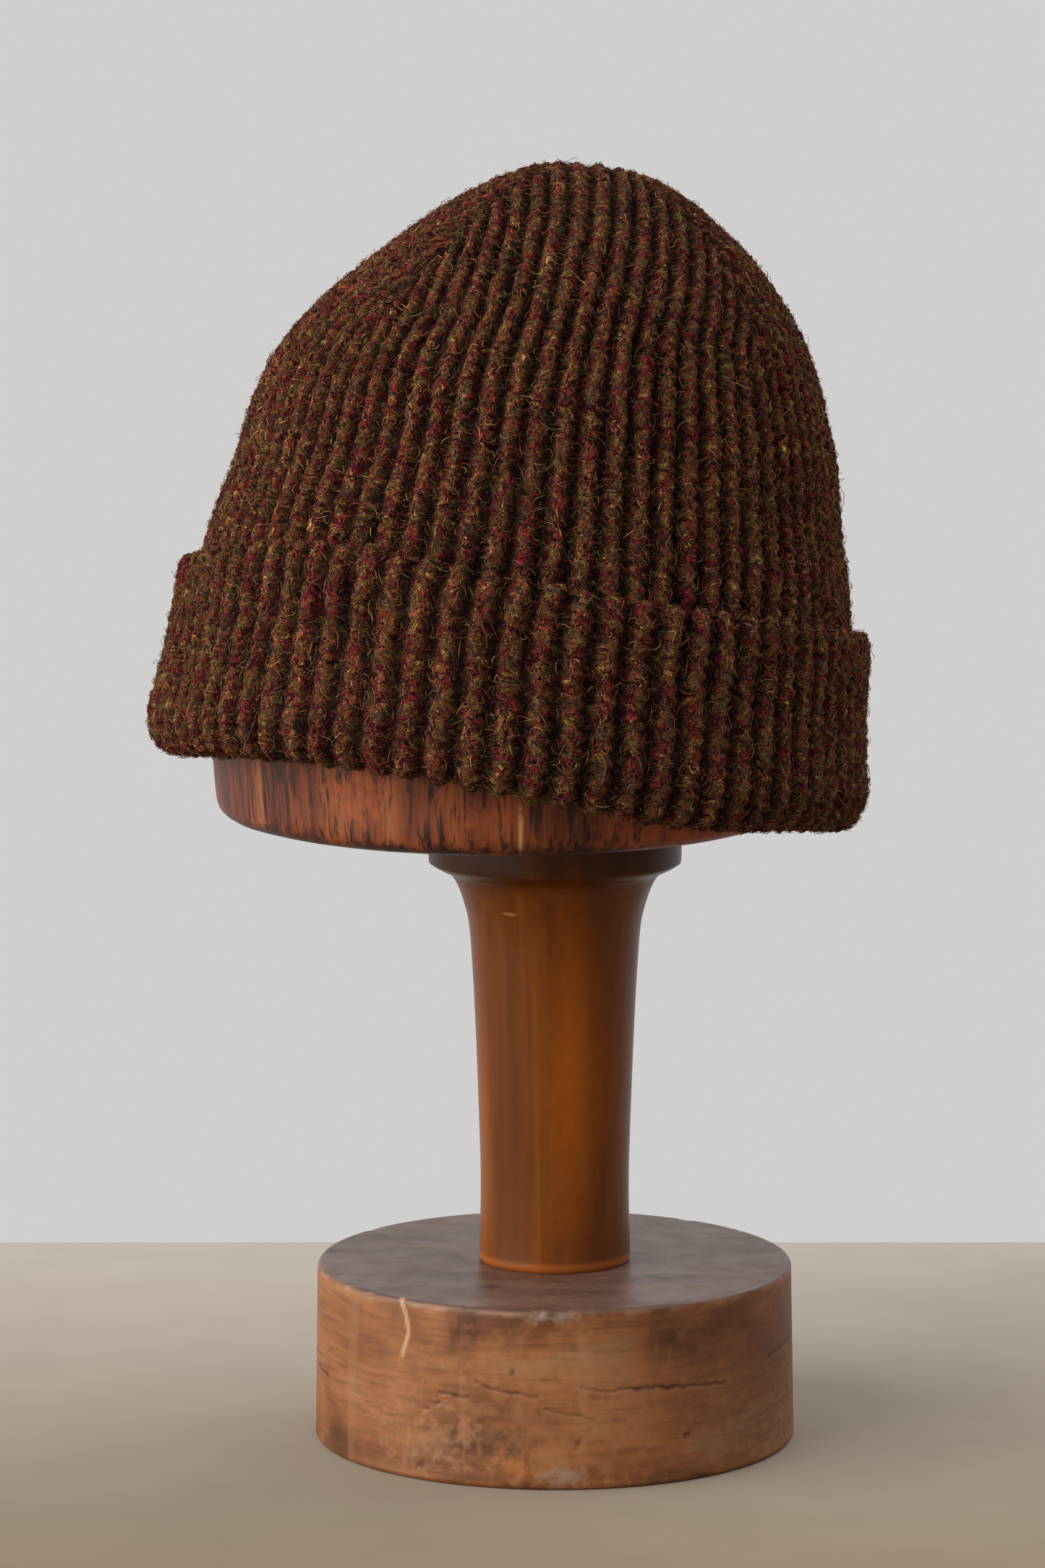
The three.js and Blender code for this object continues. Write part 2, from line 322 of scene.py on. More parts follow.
def lean(points):
    """From the hat's frame to the row frame, in millimetres."""
    x, y, z = np.asarray(points).T
    z, x = rotate(z, x, LEAN_RIGHT)
    y, z = rotate(y, z, -LEAN_BACK)
    return np.column_stack([x, y, z]) + HAT_CENTRE


def unlean(points):
    """From the row frame to the hat's frame, in millimetres."""
    x, y, z = (np.asarray(points) - HAT_CENTRE).T
    y, z = rotate(y, z, LEAN_BACK)
    z, x = rotate(z, x, -LEAN_RIGHT)
    return np.column_stack([x, y, z])


class Knit:
    """One layer of ribbed knit, whose panels may close to a point. A place on it is a panel, a
    distance s up its outline and p ribs from the middle of the panel."""

    def __init__(self, sections, closes, seed):
        self.outline = Outline(sections)
        self.closes = closes
        self.seed = seed

    def half(self, s):
        """Ribs from the middle of a panel to its edge."""
        if not self.closes:
            return np.full(np.shape(s), HALF_PANEL)
        half_width = self.outline.at(s)[0]
        return np.minimum(oval_length(half_width) / (2 * PANELS * CLOSING_PITCH), HALF_PANEL)

    def rib_width(self, s):
        half_width = self.outline.at(s)[0]
        return oval_length(half_width) / np.maximum(2 * PANELS * self.half(s), 1e-6)

    def point(self, panel, s, p, out):
        """The place that lies out millimetres past the tops of the ribs, in the hat's frame."""
        half_width, height, normal_x, normal_z = self.outline.at(s)
        half = np.maximum(self.half(s), 1e-6)
        p = np.clip(p, -half, half)
        room = smoothstep(half - np.abs(p), 0, 2)
        sway = RIB_SWAY * noise(np.column_stack([p * 4, s, panel * 100]), SWAY_SIZE, self.seed)
        turn = (panel + (p + sway * room) / (2 * half)) / PANELS
        width = np.maximum(half_width + out * normal_x, 0)
        return on_oval(turn, width, height + out * normal_z, slump(height))

    def layered(self, where, layers, seed):
        """Noise in layers, each with its size and amount."""
        parts = [
            amount * noise(where, size, self.seed + seed + order)
            for order, (size, amount) in enumerate(layers)
        ]
        return sum(parts)

    def relief(self, panel, s, p):
        """How far the surface lies from the rib tops, and how deep in a groove it is, 0 to 1,
        which sets the painted groove shade.
        """
        half = self.half(s)
        rib = np.round(p)
        aside = (p - rib) * 2
        where = np.column_stack([p * 7, s, panel * 90])
        column, side = rib.astype(np.int64), panel.astype(np.int64)
        start = scatter(column, side, 0 * column, 5)
        rows = s / STITCH + start + self.layered(where, STITCH_DRIFT, 1)
        # Each stitch leans over its rib, first to one side and then to the other.
        weave = STITCH_SWING * np.sin(2 * math.pi * rows) + self.layered(where, RIB_WAVES, 5)
        across = np.abs(aside + weave * (1 - aside**2))
        slope = 0.5 - 0.5 * np.cos(math.pi * np.clip(across, 0, 1))
        # Where two panels meet, the ribs run into a groove of their own.
        mitre = 1 - smoothstep(half - np.abs(p), 0, 0.5)
        mitre = mitre * smoothstep(HALF_PANEL - half, 0, 0.5) * MITRE_DEPTH
        groove = np.maximum(slope**GROOVE_SHARPNESS, mitre)
        legs = np.cos(2 * math.pi * (rows + STITCH_SLANT * np.abs(aside))) * (1 - 0.6 * across)
        uneven = MEAN_DEPTH + self.layered(where, DEPTH_CHANGE, 4)
        lumps = self.layered(where, LUMPS, 2)
        rise = -RIB_DEPTH * groove * uneven + STITCH_RELIEF * legs + lumps
        return rise - RIB_SINK, np.maximum(slope**SHADE_SHARPNESS, mitre)


def rows_of(knit, fine_from):
    """Distances up the outline: wide steps where nothing shows, fine ones above."""
    length = knit.outline.length
    hidden = np.linspace(0, fine_from, max(2, round(fine_from / HIDDEN_ROW_STEP)), endpoint=False)
    count = round((length - fine_from) / ROW_STEP)
    return np.concatenate([hidden, np.linspace(fine_from, length, count + 1)])


# ---------- meshes


def mesh_object(name, points, faces, attributes=()):
    """A smooth-shaded mesh from points in millimetres in the row frame."""
    mesh = bpy.data.meshes.new(name)
    faces = np.asarray(faces)
    mesh.vertices.add(len(points))
    mesh.vertices.foreach_set("co", (np.asarray(points) * MM).astype(np.float32).ravel())
    corners = faces.shape[1]
    mesh.loops.add(len(faces) * corners)
    mesh.loops.foreach_set("vertex_index", faces.astype(np.int32).ravel())
    mesh.polygons.add(len(faces))
    mesh.polygons.foreach_set("loop_start", np.arange(len(faces), dtype=np.int32) * corners)
    mesh.update(calc_edges=True)
    mesh.polygons.foreach_set("use_smooth", np.ones(len(faces), bool))
    for label, values in attributes:
        values = np.asarray(values, np.float32)
        if values.ndim == 1:
            mesh.attributes.new(label, "FLOAT", "POINT").data.foreach_set("value", values)
        else:
            layer = mesh.attributes.new(label, "FLOAT_COLOR", "POINT")
            layer.data.foreach_set("color", values.ravel())
    mesh.validate()
    obj = bpy.data.objects.new(name, mesh)
    bpy.context.scene.collection.objects.link(obj)
    return obj


def triangles_of(quads):
    """Two triangles for each quad, leaving out those that a closing edge has flattened."""
    a, b, c, d = np.asarray(quads).T
    both = np.concatenate([np.column_stack([a, b, c]), np.column_stack([a, c, d])])
    x, y, z = both.T
    return both[(x != y) & (y != z) & (z != x)]


def pairs(rows, columns):
    """Each value of the rows with each of the columns, row by row."""
    return [grid.ravel() for grid in np.meshgrid(rows, columns, indexing="ij")]


def grid_faces(rows, columns, wrap_rows=False):
    """Quads of a grid that runs round from its last column to its first."""
    i, j = pairs(np.arange(rows if wrap_rows else rows - 1), np.arange(columns))
    up, on = (i + 1) % rows, (j + 1) % columns
    first, second = i * columns, up * columns
    return np.column_stack([first + j, first + on, second + on, second + j])


def used_only(points, faces, values):
    """Leaves out the points that no face uses, and their values."""
    kept, renumbered = np.unique(faces, return_inverse=True)
    return points[kept], renumbered.reshape(faces.shape), values[kept]


def close_ends(points, rows, columns, low, top):
    """Closes a stack of rings with a middle point at each end."""
    ring = np.arange(columns)
    on = (ring + 1) % columns
    last = (rows - 1) * columns
    lower = np.column_stack([on, ring, np.full(columns, len(points))])
    upper = np.column_stack([ring + last, on + last, np.full(columns, len(points) + 1)])
    sides = triangles_of(grid_faces(rows, columns))
    return np.vstack([points, low, top]), np.concatenate([sides, lower, upper])


def panel_front(knit, index, rows, columns):
    """The ribbed side of a panel, and how deep in a groove each point is."""
    s, p = pairs(rows, columns)
    half = knit.half(s)
    p = np.clip(p, -half, half)
    panel = np.full(len(s), float(index))
    rise, groove = knit.relief(panel, s, p)
    # The relief fades out under the cuff and towards the apex.
    hidden = 1 - smoothstep(s, rows[0], knit.outline.where_height(HIDDEN_BELOW))
    rise = rise * (1 - hidden) - HIDDEN_SINK * hidden
    apart = smoothstep(knit.outline.length - s, 0, 5)
    rise = rise * apart - APEX_SINK * (1 - apart)
    return lean(knit.point(panel, s, p, rise)), groove


def panel_inside(knit, index, rows, columns):
    """The plain inside of a panel."""
    s, p = pairs(rows, columns)
    half = knit.half(s)
    panel = np.full(len(s), float(index))
    return lean(knit.point(panel, s, np.clip(p, -half, half), -FABRIC))


def first_alike(columns, half):
    """The first column at each column's place: those past a panel's edge share its point."""
    reach = np.clip(columns, -half[:, None], half[:, None])
    return np.argmax(np.isclose(reach[:, :, None], reach[:, None, :]), axis=2)


def make_panel(knit, index):
    """One closed wedge of the crown, from the fold up to the point where the panels meet."""
    s = rows_of(knit, knit.outline.where_height(HIDDEN_BELOW))
    outer = np.linspace(-HALF_PANEL, HALF_PANEL, round(2 * HALF_PANEL * RIB_COLUMNS) + 1)
    inner = np.linspace(HALF_PANEL, -HALF_PANEL, FLAT_COLUMNS)
    rows, wide = len(s), len(outer) + len(inner)
    front, groove = panel_front(knit, index, s, outer)
    inside = panel_inside(knit, index, s, inner)
    points = np.concatenate([front.reshape(rows, -1, 3), inside.reshape(rows, -1, 3)], axis=1)
    shade = np.full((rows, len(inner)), INSIDE_SHADE)
    shade = np.concatenate([groove.reshape(rows, -1), shade], axis=1)
    half = knit.half(s)
    alike = [first_alike(outer, half), first_alike(inner, half) + len(outer)]
    alike = np.concatenate(alike, axis=1) + np.arange(rows)[:, None] * wide
    sides = triangles_of(alike.ravel()[grid_faces(rows, wide)])
    bottom = np.arange(wide)
    floor = strip_faces(bottom[: len(outer)], bottom[len(outer) :][::-1])
    faces = np.concatenate([sides, floor])
    points, faces, shade = used_only(points.reshape(-1, 3), faces, shade.ravel())
    return mesh_object(f"knit_crown_{PANEL_NAMES[index]}", points, faces, [("groove", shade)])


def strip_faces(long_edge, short_edge):
    """Triangles between two edges that run the same way, the first with more points."""
    faces = []
    near = np.round(np.linspace(0, len(short_edge) - 1, len(long_edge))).astype(int)
    for i in range(len(long_edge) - 1):
        faces.append((long_edge[i + 1], long_edge[i], short_edge[near[i]]))
        if near[i + 1] != near[i]:
            faces.append((long_edge[i + 1], short_edge[near[i]], short_edge[near[i + 1]]))
    return np.array(faces)


def make_cuff(knit):
    """The turned-up layer as one closed ring."""
    count = round(knit.outline.length / ROW_STEP)
    s = np.linspace(0, knit.outline.length, count + 1)
    columns = np.arange(round(2 * HALF_PANEL * RIB_COLUMNS)) / RIB_COLUMNS - HALF_PANEL
    panel = np.repeat(np.arange(PANELS), len(columns)).astype(float)
    p = np.tile(columns, PANELS)
    s_grid, p_grid = pairs(s, p)
    panel_grid = np.tile(panel, len(s))
    rise, groove = knit.relief(panel_grid, s_grid, p_grid)
    shown = smoothstep(s_grid, 0, 8) * smoothstep(knit.outline.length - s_grid, 0, 2)
    rise = rise * shown - EDGE_SINK * (1 - shown)
    outside = lean(knit.point(panel_grid, s_grid, p_grid, rise))
    turn = (panel + p / (2 * HALF_PANEL)) / PANELS
    inside = []
    for half_width, height in CUFF_INSIDE:
        width = np.full(len(turn), float(half_width))
        level = np.full(len(turn), float(height))
        inside.append(lean(on_oval(turn, width, level, 0)))
    points = np.vstack([outside, *inside])
    shade = np.concatenate([groove, np.full(len(p) * len(inside), POCKET_SHADE)])
    faces = grid_faces(len(s) + len(inside), len(p), wrap_rows=True)
    return mesh_object("knit_cuff", points, faces, [("groove", shade)])


# ---------- fibres

# Colours of the fibres: share and sRGB colour.
YARN = (
    (4.4, (89, 59, 42)),
    (5, (48, 34, 29)),
    (3.2, (112, 80, 52)),
    (2.2, (124, 59, 42)),
    (2.8, (104, 27, 42)),
    (2, (66, 22, 34)),
    (3.4, (98, 90, 44)),
    (1.8, (142, 117, 64)),
    (1, (86, 78, 70)),
    (5, (26, 20, 20)),
)
# Strands that lie flat in the yarn, from dark through red and brown to olive, in the same way.
STRANDS = (
    (2.2, (17, 12, 15)),
    (2.0, (46, 28, 33)),
    (1.7, (78, 24, 38)),
    (1.6, (148, 32, 47)),
    (1.0, (162, 69, 44)),
    (2.2, (120, 72, 54)),
    (1.3, (166, 114, 74)),
    (0.6, (178, 142, 80)),
    (1.9, (132, 120, 50)),
    (1.4, (60, 49, 38)),
    (1.3, (108, 88, 80)),
)


def linear(srgb):
    """An sRGB colour from 0 to 255 as linear values."""
    value = np.asarray(srgb, float) / 255
    return np.where(value <= 0.04045, value / 12.92, ((value + 0.055) / 1.055) ** 2.4)


def yarn_colours(rng, count):
    """A colour for each fibre, some lighter and some darker than in the table."""
    palette = linear([colour for _, colour in YARN])
    share = np.array([amount for amount, _ in YARN], float)
    pick = rng.choice(len(palette), count, p=share / share.sum())
    shade = palette[pick] * rng.uniform(0.7, 1.9, (count, 1))
    return np.column_stack([shade, np.ones(count)])


def make_fibres(name, knit, panels, first_s, count, seed):
    """Curled fibres that lie on the knit and stand a little out of it, as one mesh."""
    rng = np.random.default_rng(seed)
    trial = np.linspace(first_s, knit.outline.length, 400)
    weight = np.cumsum(oval_length(knit.outline.at(trial)[0]))
    s = np.interp(rng.random(count), weight / weight[-1], trial)
    panel = rng.choice(panels, count).astype(float)
    half = knit.half(s)
    p = rng.uniform(-1, 1, count) * half
    stray = rng.random(count) < STRAY_SHARE
    length = np.where(stray, rng.uniform(*STRAY_LENGTH, count), rng.uniform(*FIBRE_LENGTH, count))
    rise = np.where(stray, rng.uniform(*STRAY_RISE, count), rng.gamma(2, FIBRE_RISE, count))
    heading = rng.uniform(0, 2 * math.pi, count)
    curl = rng.normal(0, FIBRE_CURL, count) / (FIBRE_POINTS - 1)
    step = length / (FIBRE_POINTS - 1)
    # Each fibre runs over the knit in equal steps, and turns a little more at each.
    path = []
    for k in range(FIBRE_POINTS):
        t = k / (FIBRE_POINTS - 1)
        ground = np.maximum(knit.relief(panel, s, np.clip(p, -half, half))[0], -FIBRE_DEPTH)
        out = ground + 0.05 + rise * math.sin(math.pi * (0.12 + 0.7 * t))
        path.append(lean(knit.point(panel, s, p, out)))
        s = np.clip(s + step * np.cos(heading), first_s * 0.98, knit.outline.length - 0.4)
        p = p + step * np.sin(heading) / np.maximum(knit.rib_width(s), 1)
        half = knit.half(s)
        heading = heading + curl
    radius = FIBRE_RADIUS * rng.uniform(0.75, 1.3, count)
    points, faces = tubes(np.stack(path, axis=1), radius)
    colour = np.repeat(yarn_colours(rng, count), len(points) // count, axis=0)
    return mesh_object(name, points, faces, [("yarn", colour)])


def tubes(path, radius):
    """Closed three-sided tubes along many short paths, drawn out to a point at both ends."""
    count, length, _ = path.shape
    along = np.gradient(path, axis=1)[:, 1:-1]
    along /= np.maximum(np.linalg.norm(along, axis=2, keepdims=True), 1e-9)
    side = np.cross(along, np.array([0.31, -0.52, 0.79]))
    side /= np.maximum(np.linalg.norm(side, axis=2, keepdims=True), 1e-9)
    over = np.cross(along, side)
    rings = []
    for corner in range(3):
        angle = corner * 2 * math.pi / 3
        out = side * math.cos(angle) + over * math.sin(angle)
        rings.append(path[:, 1:-1] + radius[:, None, None] * out)
    body = np.stack(rings, axis=2).reshape(count, -1, 3)
    points = np.concatenate([body, path[:, :1], path[:, -1:]], axis=1)
    first, last = body.shape[1], body.shape[1] + 1
    end = first - 3
    caps = [(1, 0, first), (2, 1, first), (0, 2, first)]
    caps += [(end, end + 1, last), (end + 1, end + 2, last), (end + 2, end, last)]
    faces = np.concatenate([triangles_of(grid_faces(length - 2, 3)), caps])
    starts = np.arange(count) * points.shape[1]
    return points.reshape(-1, 3), (faces[None, :, :] + starts[:, None, None]).reshape(-1, 3)


# ---------- the stand


def inside_knit(points, crown):
    """Pulls points in to where the block fits in the hat."""
    place = unlean(points)
    s = np.linspace(0, crown.outline.length, 300)
    half_width, height, normal_x, normal_z = crown.outline.at(s)
    inner_width = half_width - BLOCK_GAP * normal_x
    inner_height = height - BLOCK_GAP * normal_z
    arc = np.arctan2(place[:, 0], -place[:, 1] / DEPTH_RATIO)
    level = place[:, 2] - lift(arc, place[:, 2])
    room = np.interp(level, inner_height, inner_width, left=math.inf)
    middle = slump(level)
    reach = np.hypot(place[:, 0] - middle, place[:, 1] / DEPTH_RATIO)
    keep = np.minimum(1, room / np.maximum(reach, 1e-6))
    place[:, 0] = middle + (place[:, 0] - middle) * keep
    place[:, 1] *= keep
    return lean(place)


def block_wall(angle, crown):
    """Rings up the block's worn wall, inside the knit."""
    outward = np.column_stack([np.sin(angle), -np.cos(angle), 0 * angle])
    rings = []
    for half_width, z in catmull_rom(BLOCK_WALL, 9):
        x = BLOCK_CENTRE_X + half_width * np.sin(angle)
        y = -half_width * DEPTH_RATIO * np.cos(angle)
        ring = np.column_stack([x, y, np.full(len(angle), z)])
        grain = 0.16 * noise(ring * (1, 1, 0.05), 2.2, 21)
        wear = 0.35 * noise(ring, 14, 22) * smoothstep(z, BLOCK_UNDERSIDE + 7, BLOCK_UNDERSIDE)
        worn = ring + outward * (grain + wear - 0.25)[:, None]
        rings.append(inside_knit(worn, crown))
    return rings


def block_dome(angle, crown):
    """Rings up the dome, which follows the inside of the crown."""
    outline = crown.outline
    s = np.linspace(outline.where_height(BLOCK_DOME_FROM), outline.length, BLOCK_DOME_RINGS)
    turn = (angle - PANEL_TURN) / (2 * math.pi)
    rings = []
    for half_width, height, normal_x, normal_z in zip(*outline.at(s)):
        width = np.full(len(angle), max(half_width - BLOCK_GAP * normal_x, 0.5))
        level = np.full(len(angle), height - BLOCK_GAP * normal_z)
        rings.append(lean(on_oval(turn, width, level, slump(height))))
    return rings


def make_block(crown):
    """The oval block: worn walls below the knit, and a dome inside it."""
    angle = np.arange(BLOCK_COLUMNS) / BLOCK_COLUMNS * 2 * math.pi
    rings = block_wall(angle, crown) + block_dome(angle, crown)
    low = (BLOCK_CENTRE_X, 0, BLOCK_UNDERSIDE)
    top = rings[-1].mean(axis=0)
    points, faces = close_ends(np.vstack(rings), len(rings), BLOCK_COLUMNS, low, top)
    return mesh_object("block_wood_form", points, faces)


def turned(name, profile, columns, change=None, attributes=()):
    """A turned solid from radius and height pairs, from the lower end to the upper one.
    Its columns are closest at the front."""
    even = np.arange(columns) / columns * 2 * math.pi - math.pi
    angle = even - 0.45 * np.sin(even)
    profile = np.asarray(profile, float)
    radius = np.repeat(profile[:, 0], columns)
    z = np.repeat(profile[:, 1], columns)
    around = np.tile(angle, len(profile))
    if change is not None:
        radius, z = change(radius, z, around)
    points = np.column_stack([radius * np.sin(around), -radius * np.cos(around), z])
    low, top = (0, 0, profile[0, 1]), (0, 0, profile[-1, 1])
    points, faces = close_ends(points, len(profile), columns, low, top)
    values = [(label, work_out(points)) for label, work_out in attributes]
    return mesh_object(name, points, faces, values)


def make_stem():
    """The smooth turned stem, with a ring at its foot and a flange under the block."""
    return turned("stem_turned", catmull_rom(STEM_PROFILE, 6), STEM_COLUMNS)


# Cracks in the side of the foot: angle from the front in degrees and height, then half width.
CRACKS = (
    (((-19, 30.2), (-13, 28), (-8, 27.6), (-4, 26.4)), 0.45),
    (((6, 29.4), (13, 28.3), (19, 28.6), (29, 27.6), (37, 27.2), (44, 26.4)), 0.4),
    (((19, 28.6), (24, 28.2), (29, 27.6)), 0.75),
    (((-2.6, 23.1), (3, 22.2), (9, 20.3)), 0.45),
    (((-28, 26), (-21, 25.6)), 0.45),
    (((62, 30), (75, 31), (90, 29.5), (104, 30.5)), 0.5),
    (((-70, 22), (-86, 23.5), (-101, 22.5)), 0.45),
    (((140, 34), (158, 33), (176, 34.5), (195, 33.6)), 0.55),
)
# Small knots and nicks in its side: angle, height and radius.
KNOTS = (
    (-10.4, 33.7, 1),
    (5, 13.2, 1.1),
    (32, 13.7, 1.5),
    (-28.5, 22.9, 0.8),
    (-32, 21.2, 0.8),
    (-7.4, 12, 0.9),
    (-33.7, 4.3, 1.3),
    (74, 18, 1.4),
    (121, 36, 1.1),
    (-118, 14, 1.5),
    (-150, 30, 1),
)
# A pale scratch down its side, as angle and height, and dark spots on its top: x, y, radius.
SCRATCH = ((-39.6, 51.5), (-37.7, 47), (-36.9, 42.2), (-38.7, 35.6))
SPOTS = ((28, -24, 2.6), (31, -27, 1.6), (-28, 0, 2.4), (-20, -38, 4), (36, 30, 2), (-8, 48, 3))


def from_line(angle, z, line):
    """Distance of each place on the foot's side from a line of angles and heights."""
    degrees = (np.degrees(angle) + 180) % 360 - 180
    scale = math.radians(1) * BASE_FOOT_RADIUS
    wobble = 0.35 * noise(np.column_stack([degrees, z * 0, z * 0]), 1.5, 31)
    nearest = np.full(len(z), 1e3)
    for (a0, z0), (a1, z1) in zip(line, line[1:]):
        away = ((degrees - a0 + 180) % 360 - 180) * scale
        run = (a1 - a0) * scale
        rise = z1 - z0
        t = np.clip((away * run + (z - z0) * rise) / (run**2 + rise**2), 0, 1)
        nearest = np.minimum(nearest, np.hypot(away - t * run, z + wobble - z0 - t * rise))
    return nearest


def crack_depth(angle, z):
    """How deep in a crack or a knot each place on the foot's side is, 0 to 1."""
    deepest = np.zeros(len(z))
    for line, width in CRACKS:
        gap = from_line(angle, z, line)
        deepest = np.maximum(deepest, 1 - smoothstep(gap, width * 0.2, width * 1.4))
    for degrees, height, size in KNOTS:
        gap = from_line(angle, z, ((degrees, height), (degrees + 0.4, height)))
        deepest = np.maximum(deepest, 1 - smoothstep(gap, size * 0.3, size))
    return deepest


def base_profile():
    """Radius and height of each ring of the foot."""
    edge = np.linspace(0, math.pi / 2, 6)
    sine, rest = np.sin(edge), 1 - np.cos(edge)
    foot = np.column_stack([BASE_FOOT_RADIUS - BASE_EDGE * (1 - sine), BASE_EDGE * rest])
    z = np.concatenate([np.arange(*stretch) for stretch in BASE_ROWS])
    radius = np.interp(z, (0, BASE_HEIGHT), (BASE_FOOT_RADIUS, BASE_TOP_RADIUS))
    side = np.column_stack([radius, z])
    rim_radius = BASE_TOP_RADIUS - BASE_EDGE * rest
    rim = np.column_stack([rim_radius, BASE_HEIGHT - BASE_EDGE * (1 - sine)])
    under = [(ring, 0) for ring in BASE_UNDER_RINGS]
    top = [(ring, BASE_HEIGHT) for ring in BASE_TOP_RINGS]
    return [*under, *foot, *side, *rim, *top]


def make_base():
    """The round foot, with a worn rim, dents and cracks."""

    def worn(radius, z, around):
        place = np.column_stack([radius * np.sin(around), -radius * np.cos(around), z])
        on_side = smoothstep(z, 1, 3) * (1 - smoothstep(z, BASE_HEIGHT - 2, BASE_HEIGHT - 0.5))
        near_rim = smoothstep(z, BASE_HEIGHT - 3, BASE_HEIGHT - 0.6)
        near_rim = near_rim * smoothstep(radius, 64, 67)
        chips = np.clip(noise(place, 5, 33) + 0.3 * noise(place, 1.6, 34) - 0.42, 0, 1)
        saw = 0.06 * noise(place * (0.1, 0.1, 1), 0.9, 35)
        waves = 0.2 * noise(place, 22, 36)
        cut = 0.3 * crack_depth(around, z) * on_side + chips * near_rim
        inward = (cut - (saw + waves) * on_side) * smoothstep(radius, 60, 66)
        return radius - np.maximum(inward, -0.2), z - 0.8 * chips * near_rim

    def cracked(points):
        around = np.arctan2(points[:, 0], -points[:, 1])
        reach = np.hypot(points[:, 0], points[:, 1])
        side = crack_depth(around, points[:, 2]) * smoothstep(reach, 66, 67)
        for x, y, size in SPOTS:
            gap = np.hypot((points[:, 0] - x) * 0.7, points[:, 1] - y)
            spot = 0.7 * (1 - smoothstep(gap, size * 0.4, size))
            spot = spot * smoothstep(points[:, 2], BASE_HEIGHT - 0.5, BASE_HEIGHT - 0.1)
            side = np.maximum(side, spot)
        return side

    def scratched(points):
        around = np.arctan2(points[:, 0], -points[:, 1])
        near = 1 - smoothstep(from_line(around, points[:, 2], SCRATCH), 0.25, 1)
        return near * smoothstep(np.hypot(points[:, 0], points[:, 1]), 66.5, 68.2)

    values = [("crack", cracked), ("scratch", scratched)]
    return turned("base_foot_wood", base_profile(), BASE_COLUMNS, worn, values)


# ---------- materials

# Marks on the front of the wood, a few of them painted light and shade: x, z, half width, half
# height, how frayed, strength, colour.
BLOCK_MARKS_AND_LIGHT = (
    (-9.9, 191, 0.8, 7.5, 0.4, 0.9, (176, 136, 90)),
    (31, 193, 0.7, 6, 0.4, 0.7, (150, 84, 40)),
    (-54, 199, 9, 8, 0.9, 0.6, (150, 74, 34)),
    (-20, 193, 7, 5, 0.9, 0.5, (142, 70, 36)),
    # Painted light: lifts the shaded right side of the block.
    (46, 192, 30, 16, 0.5, 0.7, (168, 70, 30)),
)
STEM_MARKS_LIGHT_AND_SHADE = (
    (-13, 156.7, 2.8, 0.6, 0.3, 0.7, (176, 128, 78)),
    # Painted light and shade: a bright orange middle band, a darker band on the left and a warmer
    # band on the shaded right side.
    (5, 112, 9, 60, 0.1, 0.8, (146, 74, 4)),
    (-15, 95, 9, 60, 0.0, 0.45, (66, 34, 14)),
    (20, 105, 9, 60, 0.1, 0.5, (124, 60, 4)),
)
BASE_MARKS_AND_SHADE = (
    (-1, 49.4, 7, 1.5, 0.7, 0.7, (122, 112, 104)),
    (2, 4, 8, 3.6, 0.7, 0.7, (128, 112, 98)),
    (-11, 7, 6, 4.4, 0.7, 0.7, (152, 86, 38)),
    (24, 42, 14, 8, 0.6, 0.4, (78, 46, 26)),
    (-36, 12, 14, 9, 0.6, 0.5, (146, 108, 74)),
    (8, 30, 3, 18, 0.3, 0.35, (150, 112, 78)),
    # Painted shade: darkens the right side of the foot, away from the light.
    (60, 26, 32, 48, 0.4, 0.55, (84, 40, 12)),
    (0, 22, 36, 26, 0.8, 0.3, (166, 112, 70)),
)


def put(node, **values):
    """Sets inputs of a node by name, with _ for each space."""
    for name, value in values.items():
        node.inputs[name.replace("_", " ")].default_value = value


